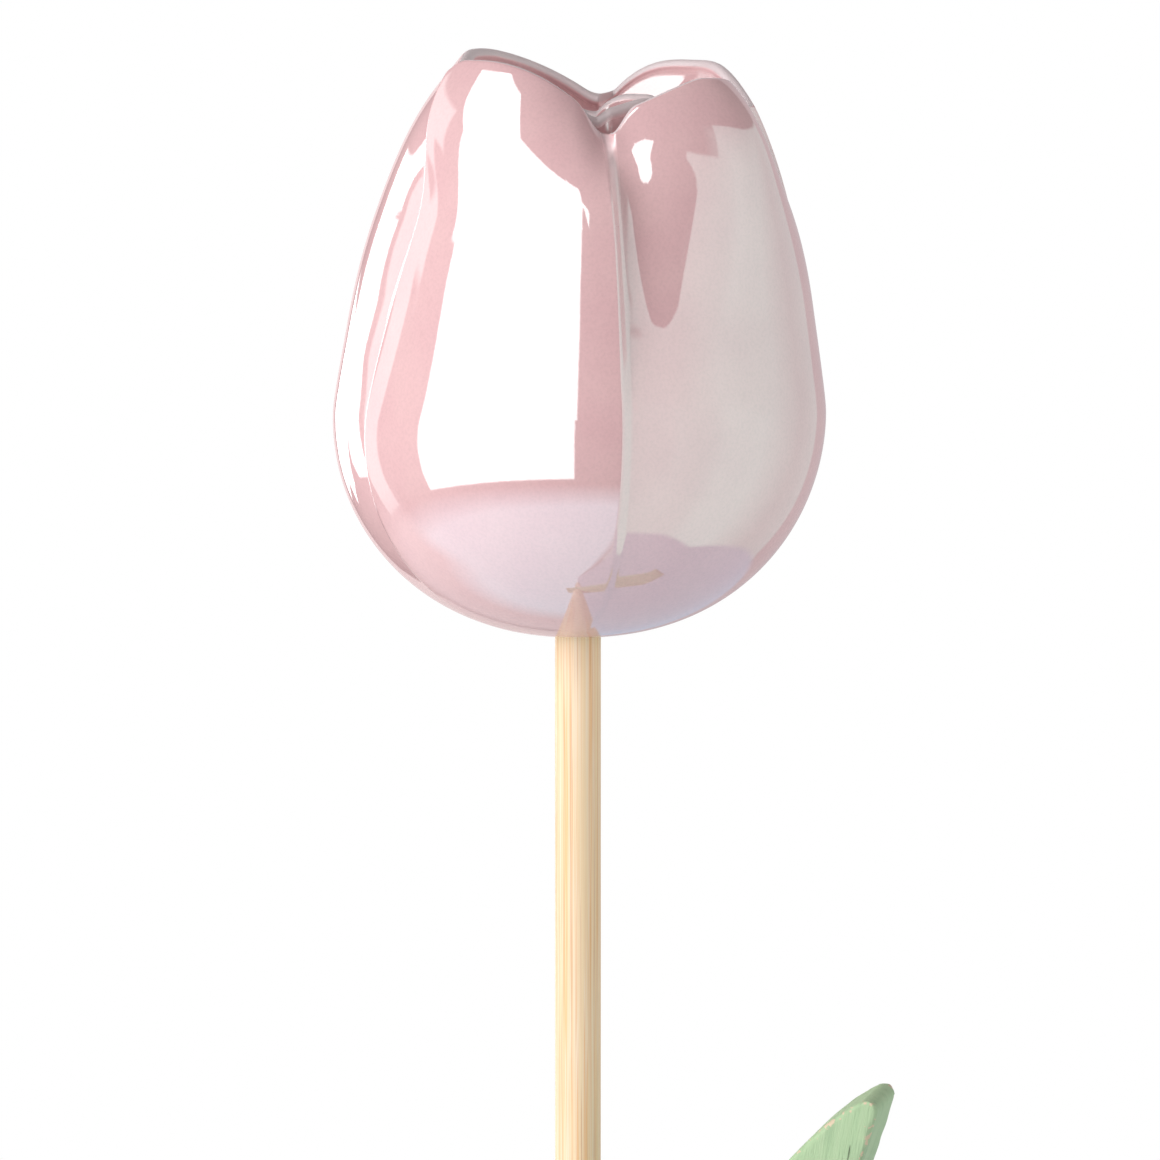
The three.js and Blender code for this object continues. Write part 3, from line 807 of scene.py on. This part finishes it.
LEAF_GRAIN_TURN = 20
LEAF_EDGE_STEPS = 300
LEAF_COLUMNS = 190
LEAF_TIP_COLUMNS = 16
LEAF_TIP_FIRST = 4
LEAF_TIP_LAST = 87
LEAF_FACE_STEPS = 46
LEAF_SIDE_STEPS = 30
CUTTER_SIZE = 0.2
DRILL_SIDES = 64


def edge_curve(start, swell, draw, end):
    """Places along a long edge of the leaf, from its heel to its tip."""
    t = np.linspace(0, 1, LEAF_EDGE_STEPS)[:, None]
    points = [np.array(point) for point in (start, swell, draw, end)]
    weights = [(1 - t) ** 3, 3 * t * (1 - t) ** 2, 3 * t * t * (1 - t), t ** 3]
    return sum(weight * point for weight, point in zip(weights, points)).T


TIP_START = LEAF_REACH - LEAF_TIP_RADIUS
lower_edge = edge_curve((-LEAF_TAIL, -0.6 * LEAF_HALF_WIDTH), (0.2 * LEAF_REACH, -1.4 * LEAF_HALF_WIDTH),
                        (0.68 * LEAF_REACH, -0.8 * LEAF_HALF_WIDTH),
                        (TIP_START + 0.22 * LEAF_TIP_RADIUS, -0.975 * LEAF_TIP_RADIUS))
upper_edge = edge_curve((-LEAF_TAIL, 0.8 * LEAF_HALF_WIDTH), (0.3 * LEAF_REACH, 1.1 * LEAF_HALF_WIDTH),
                        (0.84 * LEAF_REACH, 1.15 * LEAF_HALF_WIDTH),
                        (TIP_START + 0.53 * LEAF_TIP_RADIUS, 0.848 * LEAF_TIP_RADIUS))


def leaf_edges(along):
    """The lower and upper edge of the board at places along it."""
    tip = np.sqrt(np.maximum(LEAF_TIP_RADIUS ** 2 - np.maximum(along - TIP_START, 0) ** 2, 0))
    lower = np.where(along > lower_edge[0, -1], -tip, np.interp(along, *lower_edge))
    upper = np.where(along > upper_edge[0, -1], tip, np.interp(along, *upper_edge))
    return lower, upper


def from_arris(board):
    """How far each point of the board's skin lies from the nearest long arris."""
    lower, upper = leaf_edges(board[..., 0])
    from_edge = np.minimum(np.abs(board[..., 1] - lower), np.abs(upper - board[..., 1]))
    from_face = np.maximum(LEAF_HALF_THICKNESS - np.abs(board[..., 2]), 0)
    return np.maximum(from_edge, from_face)


def leaf_board():
    """The board before it is swung to its place: along the leaf, across it, and toward its front face."""
    tip_turn = np.radians(np.linspace(LEAF_TIP_FIRST, LEAF_TIP_LAST, LEAF_TIP_COLUMNS))
    round_tip = TIP_START + LEAF_TIP_RADIUS * np.sin(tip_turn)
    along = np.concatenate([np.linspace(-LEAF_TAIL, TIP_START, LEAF_COLUMNS), round_tip])[:, None]
    lower, upper = leaf_edges(along)
    half = (upper - lower) / 2
    arris = np.minimum(LEAF_ARRIS, half * 0.9)
    across, front = rounded_loop(half, LEAF_HALF_THICKNESS, arris, LEAF_FACE_STEPS, LEAF_SIDE_STEPS)
    board = np.stack([along + 0 * across, across + (upper + lower) / 2, front], axis=-1).transpose(1, 0, 2)
    dents = waver(board, LEAF_DENT_LENGTH, 11).reshape(board.shape[:2])
    waves = waver(board, LEAF_WAVE_LENGTH, 13).reshape(board.shape[:2])
    near = np.exp(-(from_arris(board) / LEAF_DENT_SPREAD) ** 2)
    inward = LEAF_DENT * near * np.clip(dents + LEAF_DENT_SHARE, 0, 1) + LEAF_WAVE * (waves + 1) / 2
    middle = ((upper + lower) / 2).T
    board[..., 1] -= inward * np.sign(board[..., 1] - middle) * (half.T > 2 * LEAF_ARRIS)
    board[..., 2] -= inward * np.sign(board[..., 2])
    return board


def leaf_swing():
    """Where the board goes: spread from the stick, tipped forward and turned a little to the viewer."""
    upright = Matrix.Rotation(math.radians(90), 4, "X")
    spread = upright @ Matrix.Rotation(math.radians(90 - LEAF_SPREAD), 4, "Z")
    bend = Matrix.Translation((0, 0, LEAF_BEND_HEIGHT))
    forward = bend @ Matrix.Rotation(math.radians(LEAF_TIP_FORWARD), 4, "X") @ bend.inverted()
    place = Matrix.Translation((0, 0, LEAF_HEEL_LEVEL)) @ Matrix.Rotation(-math.radians(LEAF_YAW), 4, "Z")
    return place @ forward @ spread


def moved(matrix, points):
    """The points, moved by the matrix."""
    matrix = np.array(matrix)
    return points @ matrix[:3, :3].T + matrix[:3, 3]


def cut_away(piece, cutter):
    """The piece with the cutter's volume taken out of it; the cutter is used up."""
    tool = piece.modifiers.new("cut", "BOOLEAN")
    tool.operation = "DIFFERENCE"
    tool.solver = "EXACT"
    tool.object = cutter
    bpy.context.view_layer.update()
    cut = bpy.data.meshes.new_from_object(piece.evaluated_get(bpy.context.evaluated_depsgraph_get()))
    piece.modifiers.clear()
    piece.data = cut
    bpy.data.objects.remove(cutter)


def sawn_and_drilled_leaf():
    """The board in its place, sawn level at the heel and drilled for the stick."""
    board_ends = np.array([(-LEAF_TAIL, LEAF_TAIL_MIDDLE, 0), (LEAF_REACH, 0, 0)])
    board_grid = moved(leaf_swing(), leaf_board())
    piece = closed_skin("leaf_painted", board_grid, moved(leaf_swing(), board_ends).tolist())
    bpy.ops.mesh.primitive_cube_add(size=CUTTER_SIZE, location=(0, 0, LEAF_HEEL_LEVEL - CUTTER_SIZE / 2))
    cut_away(piece, bpy.context.object)
    bpy.ops.mesh.primitive_cylinder_add(vertices=DRILL_SIDES, radius=BORE_RADIUS, depth=CUTTER_SIZE,
                                        location=(0, 0, LEAF_HEEL_LEVEL + CUTTER_SIZE / 4))
    cut_away(piece, bpy.context.object)
    piece.data.name = "leaf_painted"
    piece.data.shade_smooth()
    piece.data.set_sharp_from_angle(angle=math.radians(40))
    return piece


leaf_piece = sawn_and_drilled_leaf()
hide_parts("leaf")
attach(leaf_piece, "leaf")


def mark_leaf():
    """Three masks at the leaf's points: how near an arris lies, which points lie on a broad face, and where
    saw and drill cut through the paint."""
    points = np.array([vertex.co for vertex in leaf_piece.data.vertices])
    board = moved(leaf_swing().inverted(), points)
    from_axis = np.hypot(points[:, 0], points[:, 1])
    sawn = points[:, 2] < LEAF_HEEL_LEVEL + LEAF_CUT_DEPTH
    drilled = from_axis < BORE_RADIUS + LEAF_CUT_DEPTH
    mark_points(leaf_piece, "arris", np.clip(1 - from_arris(board) / LEAF_WEAR_SPREAD, 0, 1))
    mark_points(leaf_piece, "face", np.abs(board[:, 2]) > LEAF_HALF_THICKNESS - LEAF_FACE_DEPTH)
    mark_points(leaf_piece, "sawn", sawn | drilled)


mark_leaf()


def green_paint_finish():
    leaf_green = (0.405, 0.560, 0.335)
    pale_green = (0.480, 0.615, 0.390)
    deep_green = (0.300, 0.430, 0.260)
    crack_dark = (0.085, 0.120, 0.065)
    bare_wood = (0.680, 0.560, 0.400)
    material, tree, shader = new_material("brushed_green_paint")
    place = add(tree, "ShaderNodeTexCoord").outputs["Object"]
    grain_turn = leaf_swing() @ Matrix.Rotation(math.radians(LEAF_GRAIN_TURN), 4, "Z")
    along_grain = add(tree, "ShaderNodeMapping",
                      sockets={"Vector": place, "Rotation": grain_turn.inverted().to_euler()}).outputs[0]
    brushed = add(tree, "ShaderNodeMapping",
                  sockets={"Vector": along_grain, "Scale": (0.10, 1, 1)}).outputs[0]
    grain = add(tree, "ShaderNodeGroup", node_tree=wood_grain,
                sockets={"Place": brushed, "Fineness": 900.0})
    paint = ramp(tree, grain.outputs["Bands"], [(0.28, deep_green), (0.42, leaf_green), (0.70, pale_green)])
    paint = blend_colours(tree, 0.65, leaf_green, paint)

    cloud = add(tree, "ShaderNodeTexNoise", sockets={"Vector": place, "Scale": 160.0, "Detail": 3.0})
    smudged = ramp(tree, cloud.outputs["Fac"], [(0.52, (0, 0, 0)), (0.72, (0.5, 0.5, 0.5))])
    paint = blend_colours(tree, smudged, paint, deep_green)

    split = add(tree, "ShaderNodeMapping",
                sockets={"Vector": along_grain, "Scale": (0.12, 1, 0.4),
                         "Location": (0.02, 0.013, 0)}).outputs[0]
    cracks = add(tree, "ShaderNodeTexNoise", sockets={"Vector": split, "Scale": 1500.0, "Detail": 1.0})
    crack_mask = ramp(tree, cracks.outputs["Fac"], [(0.675, (0, 0, 0)), (0.70, (1, 1, 1))])
    arris = add(tree, "ShaderNodeAttribute", attribute_name="arris").outputs["Fac"]
    on_face = ramp(tree, arris, [(0.15, (1, 1, 1)), (0.45, (0, 0, 0))])
    crack_mask = blend_colours(tree, 1.0, crack_mask, on_face, "MULTIPLY")
    face = add(tree, "ShaderNodeAttribute", attribute_name="face").outputs["Fac"]
    crack_mask = blend_colours(tree, 1.0, crack_mask, face, "MULTIPLY")
    paint = blend_colours(tree, crack_mask, paint, crack_dark)

    sawn = add(tree, "ShaderNodeAttribute", attribute_name="sawn").outputs["Fac"]
    chips = add(tree, "ShaderNodeTexNoise", sockets={"Vector": place, "Scale": 1100.0, "Detail": 3.0})
    worn = add(tree, "ShaderNodeMath", operation="MULTIPLY_ADD",
               sockets={0: arris, 1: 0.42, 2: chips.outputs["Fac"]})
    worn = ramp(tree, worn.outputs[0], [(0.90, (0, 0, 0)), (0.93, (1, 1, 1))])
    bare = add(tree, "ShaderNodeMath", operation="MAXIMUM", sockets={0: worn, 1: sawn}).outputs[0]
    tree.links.new(blend_colours(tree, bare, paint, bare_wood), shader.inputs["Base Color"])

    rough = add(tree, "ShaderNodeMapRange",
                sockets={"Value": grain.outputs["Fibres"], "To Min": 0.48, "To Max": 0.72})
    tree.links.new(rough.outputs[0], shader.inputs["Roughness"])
    cut_in = add(tree, "ShaderNodeMath", operation="MULTIPLY_ADD",
                 sockets={0: crack_mask, 1: -1.5, 2: grain.outputs["Fibres"]})
    bump = add(tree, "ShaderNodeBump",
               sockets={"Height": cut_in.outputs[0], "Strength": 0.9, "Distance": 0.00012})
    tree.links.new(bump.outputs[0], shader.inputs["Normal"])
    return material


leaf_piece.data.materials.append(green_paint_finish())


# Studio
# A pale floor that fades into white and is clear from below, a big soft lamp at the left, a weak one at
# the right and one above. Windows and walls that show only as reflections are drawn in the world, and
# the camera looks from a little above, as in the photograph.

CAMERA_DISTANCE = 1.2
CAMERA_ELEVATION = 5.2
PICTURE_WIDTH = 0.1508
SENSOR_WIDTH = 36.0
AIM_SIDEWAYS = 0.00026
AIM_ABOVE_FOOT = 0.00713
aim = Vector((AIM_SIDEWAYS, 0, FOOT_LEVEL + AIM_ABOVE_FOOT))
camera_data = bpy.data.cameras.new("studio_camera")
camera_data.sensor_width = SENSOR_WIDTH
camera_data.lens = SENSOR_WIDTH * CAMERA_DISTANCE / PICTURE_WIDTH
camera_data.clip_start = 0.05
camera = bpy.data.objects.new("studio_camera", camera_data)
back = Vector((0, -math.cos(math.radians(CAMERA_ELEVATION)), math.sin(math.radians(CAMERA_ELEVATION))))
camera.location = aim + back * CAMERA_DISTANCE
camera.rotation_euler = (-back).to_track_quat("-Z", "Y").to_euler()
bpy.context.scene.collection.objects.link(camera)
bpy.context.scene.camera = camera
bpy.context.scene.view_settings.view_transform = "Standard"


def soft_lamp(name, azimuth, elevation, distance, width, watts):
    """A square lamp that faces the flower and lights it without showing in the glaze."""
    data = bpy.data.lights.new(name, "AREA")
    data.size = width
    data.energy = watts
    lamp = bpy.data.objects.new(name, data)
    a, e = math.radians(azimuth), math.radians(elevation)
    toward = Vector((math.sin(a) * math.cos(e), -math.cos(a) * math.cos(e), math.sin(e)))
    lamp.location = Vector((0, 0, FOOT_LEVEL)) + toward * distance
    lamp.rotation_euler = (-toward).to_track_quat("-Z", "Y").to_euler()
    lamp.visible_glossy = False
    lamp.visible_camera = False
    bpy.context.scene.collection.objects.link(lamp)


soft_lamp("left_lamp", azimuth=-56, elevation=16, distance=1.1, width=0.9, watts=13.0)
soft_lamp("right_lamp", azimuth=75, elevation=12, distance=1.2, width=0.9, watts=3.6)
soft_lamp("top_lamp", azimuth=0, elevation=80, distance=1.2, width=0.8, watts=0.5)

FLOOR_RADIUS = 0.6
FLOOR_FADE_START = 0.15
FLOOR_DROP = 0.0002
FLOOR_SIDES = 64
floor_mesh = bpy.data.meshes.new("pale_floor")
floor_turn = np.linspace(0, 2 * math.pi, FLOOR_SIDES, endpoint=False)
floor_points = [(FLOOR_RADIUS * math.cos(t), FLOOR_RADIUS * math.sin(t), -FLOOR_DROP) for t in floor_turn]
floor_mesh.from_pydata(floor_points, [], [list(range(len(floor_points)))])
floor = bpy.data.objects.new("pale_floor", floor_mesh)
bpy.context.scene.collection.objects.link(floor)


def floor_finish():
    material, tree, shader = new_material("pale_floor")
    place = add(tree, "ShaderNodeTexCoord").outputs["Object"]
    distance = add(tree, "ShaderNodeVectorMath", operation="LENGTH", sockets={0: place}).outputs["Value"]
    fade = add(tree, "ShaderNodeMapRange", interpolation_type="SMOOTHSTEP",
               sockets={"Value": distance, "From Min": FLOOR_FADE_START, "From Max": FLOOR_RADIUS,
                        "To Min": 1.0, "To Max": 0.0})
    shader.inputs["Base Color"].default_value = (0.9, 0.9, 0.9, 1)
    shader.inputs["Roughness"].default_value = 0.9
    below = add(tree, "ShaderNodeNewGeometry").outputs["Backfacing"]
    shown = add(tree, "ShaderNodeMath", operation="SUBTRACT", use_clamp=True,
                sockets={0: fade.outputs[0], 1: below})
    clear = add(tree, "ShaderNodeBsdfTransparent")
    both = add(tree, "ShaderNodeMixShader",
               sockets={0: shown.outputs[0], 1: clear.outputs[0], 2: shader.outputs[0]})
    tree.links.new(both.outputs[0], tree.nodes["Material Output"].inputs["Surface"])
    return material


floor_mesh.materials.append(floor_finish())
floor.visible_glossy = False


def softbox_group():
    """A soft-edged rectangle in azimuth and elevation, in degrees. By its lean, its bottom and top climb
    with the azimuth."""
    group = bpy.data.node_groups.new("softbox", "ShaderNodeTree")
    for name in ("Azimuth", "Elevation", "Left", "Right", "Bottom", "Top", "Lean", "Feather"):
        group.interface.new_socket(name, in_out="INPUT", socket_type="NodeSocketFloat")
    group.interface.new_socket("Mask", in_out="OUTPUT", socket_type="NodeSocketFloat")
    ins = add(group, "NodeGroupInput").outputs
    outs = add(group, "NodeGroupOutput").inputs
    leaned = add(group, "ShaderNodeMath", operation="MULTIPLY", sockets={0: ins["Azimuth"], 1: ins["Lean"]})
    level = add(group, "ShaderNodeMath", operation="SUBTRACT",
                sockets={0: ins["Elevation"], 1: leaned.outputs[0]}).outputs[0]
    nearest = None
    for inner, outer in ((ins["Azimuth"], ins["Left"]), (ins["Right"], ins["Azimuth"]),
                         (level, ins["Bottom"]), (ins["Top"], level)):
        edge = add(group, "ShaderNodeMath", operation="SUBTRACT", sockets={0: inner, 1: outer}).outputs[0]
        if nearest is not None:
            edge = add(group, "ShaderNodeMath", operation="MINIMUM",
                       sockets={0: nearest, 1: edge}).outputs[0]
        nearest = edge
    mask = add(group, "ShaderNodeMath", operation="DIVIDE", use_clamp=True,
               sockets={0: nearest, 1: ins["Feather"]})
    group.links.new(mask.outputs[0], outs["Mask"])
    return group


softbox = softbox_group()

DARK_ROOM = (0.14, 0.13, 0.13)
WINDOW = (3.2, 3.2, 3.2)
PALE_STRIP = (1.1, 1.1, 1.1)
BRIGHT_WALL = (1.15, 1.5, 1.42)
GREY_WALL = (0.76, 0.92, 0.89)
RIGHT_EDGE = (0.60, 0.53, 0.55)
LEFT_EDGE = (0.90, 0.78, 0.78)
FRONT_GROUND = (1.0, 1.3, 1.5)
LEFT_GROUND = (0.85, 0.74, 0.78)
RIGHT_GROUND = (0.56, 0.72, 0.90)

# Each panel's left, right, bottom and top in degrees, its lean, its feather in degrees, and its colour.
# A later panel covers an earlier one.
REFLECTED_PANELS = [
    # The big window that the front petal mirrors, its left part, and the dark above it
    (-81.5, -1.5, -29.5, 42, 0, 1.0, WINDOW),
    (-43, -0.5, 5, 43.5, -0.184, 1.0, WINDOW),
    (-85, -40.5, 18, 70.5, 0, 1.0, WINDOW),
    (-112, -78, -37.5, 200, -0.83, 1.0, WINDOW),
    (-125, -55, 108, 400, 0.54, 1.0, DARK_ROOM),
    # The narrow stripes on the left petal
    (-122.4, -109, -30, 19, 0, 1.0, PALE_STRIP),
    (-122.4, -102.5, 11.2, 24, 0, 1.5, PALE_STRIP),
    (-130, -95, 18.5, 37, 0, 2.0, PALE_STRIP),
    (-150.5, -124.8, 19, 43.4, 0.23, 0.5, WINDOW),
    (-160, -149.5, -12, 1.5, 0, 0.5, WINDOW),
    (-150, -134, -100, 156.4, 1.2, 0.5, DARK_ROOM),
    # The pale wall that the right petal mirrors, the dark wedge in it, and a small bright window
    (26, 62, -62, 42.6, -0.4, 1.5, GREY_WALL),
    (49.5, 150, -62, 58, -0.3, 1.5, GREY_WALL),
    (26, 62, -62, 42.6, -0.4, 30.0, BRIGHT_WALL),
    (40, 125, -62, 58, -0.3, 30.0, BRIGHT_WALL),
    (33, 37.7, 48.5, 53.7, -0.944, 1.0, DARK_ROOM),
    (-1, 35.3, -200, 53.7, -0.944, 1.0, DARK_ROOM),
    (-10, 3.7, 30, 33.8, -1.3, 0.6, WINDOW),
    # What the edges of the outline mirror
    (146, 200, -30, 60, 0, 2.0, RIGHT_EDGE),
    (-200, -163, -30, 60, 0, 1.5, LEFT_EDGE),
    # The ground
    (-200, 38, -100, -32, 0, 12.0, FRONT_GROUND),
    (-200, -105, -100, -22, 0, 14.0, LEFT_GROUND),
    (36, 200, -100, -54, 0, 2.0, RIGHT_GROUND),
    (80, 200, -160, -91, 0.42, 2.0, RIGHT_GROUND),
    (-200, -60, -110, -48, 0, 12.0, FRONT_GROUND),
]
SIDE_LIGHT = 0.46
SIDE_LIGHT_ELEVATION = 15.0
TOP_LIGHT = 0.08
TOP_LIGHT_ELEVATION = 75.0


def studio_world():
    """White to the camera and through clear things, the panels in reflections, and soft light to the rest,
    most of it from the sides."""
    world = bpy.data.worlds.new("white_studio")
    world.use_nodes = True
    tree = world.node_tree
    way = add(tree, "ShaderNodeSeparateXYZ",
              sockets={0: add(tree, "ShaderNodeTexCoord").outputs["Generated"]}).outputs
    toward_viewer = add(tree, "ShaderNodeMath", operation="MULTIPLY", sockets={0: way["Y"], 1: -1.0})
    azimuth = add(tree, "ShaderNodeMath", operation="ARCTAN2",
                  sockets={0: way["X"], 1: toward_viewer.outputs[0]})
    azimuth = add(tree, "ShaderNodeMath", operation="DEGREES", sockets={0: azimuth.outputs[0]}).outputs[0]
    elevation = add(tree, "ShaderNodeMath", operation="ARCSINE", sockets={0: way["Z"]})
    elevation = add(tree, "ShaderNodeMath", operation="DEGREES",
                    sockets={0: elevation.outputs[0]}).outputs[0]
    seen = DARK_ROOM
    for left, right, bottom, top, lean, feather, colour in REFLECTED_PANELS:
        panel = add(tree, "ShaderNodeGroup", node_tree=softbox,
                    sockets={"Azimuth": azimuth, "Elevation": elevation, "Left": left, "Right": right,
                             "Bottom": bottom, "Top": top, "Lean": lean, "Feather": feather})
        seen = blend_colours(tree, panel.outputs["Mask"], seen, colour)
    rays = add(tree, "ShaderNodeLightPath").outputs
    ambient = add(tree, "ShaderNodeMapRange",
                  sockets={"Value": elevation, "From Min": SIDE_LIGHT_ELEVATION,
                           "From Max": TOP_LIGHT_ELEVATION, "To Min": SIDE_LIGHT, "To Max": TOP_LIGHT})
    around = blend_colours(tree, rays["Is Glossy Ray"], ambient.outputs[0], seen)
    through = add(tree, "ShaderNodeMath", operation="MAXIMUM",
                  sockets={0: rays["Is Camera Ray"], 1: rays["Is Transmission Ray"]})
    white = blend_colours(tree, through.outputs[0], around, (1, 1, 1))
    tree.links.new(white, tree.nodes["Background"].inputs["Color"])
    return world


bpy.context.scene.world = studio_world()
